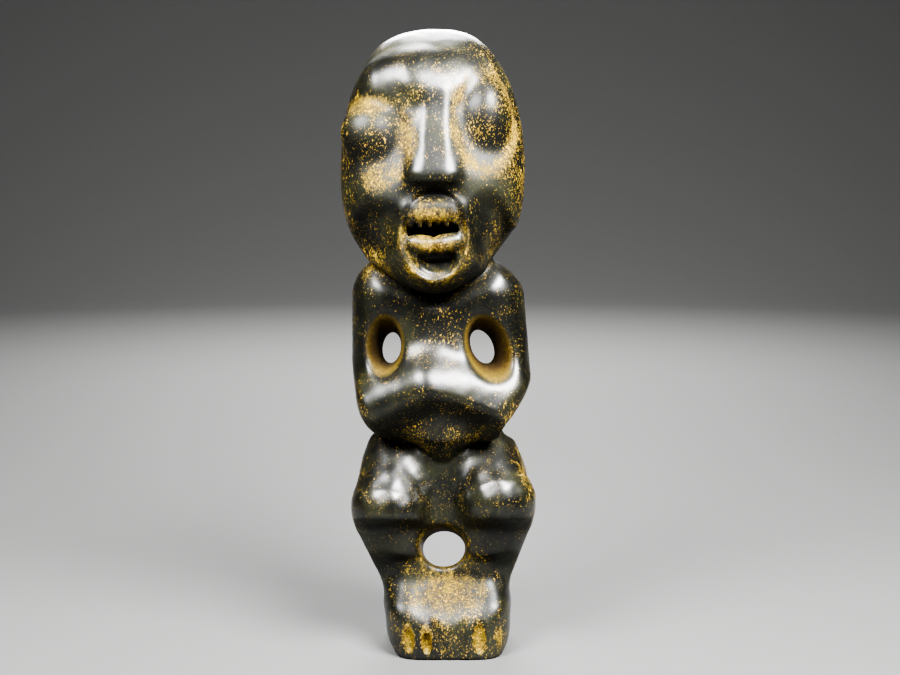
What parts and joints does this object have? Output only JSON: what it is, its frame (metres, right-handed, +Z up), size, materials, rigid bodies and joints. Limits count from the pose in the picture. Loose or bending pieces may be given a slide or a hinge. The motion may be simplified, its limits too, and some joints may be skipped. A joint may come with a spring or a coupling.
{
  "type": "carved stone figure",
  "caption": "Squatting figure carved from one block of dark stone, with an egg-shaped head, arms folded over the belly, drilled through holes and a flat sole.",
  "frame": {"origin": "centre of the bounding box at the flat sole, on the surface that the figure stands on", "axes": "+Z up from the sole to the crown; the face looks along -Y; +X is to the right of someone facing the figure"},
  "size_m": [0.0432, 0.0346, 0.1388],
  "materials": {
    "stone": "hand-polished, near-black green with golden-ochre flecks and ochre left in the hollows"
  },
  "bodies": {
    "root": {"figure": "stone"}
  },
  "joints": []
}
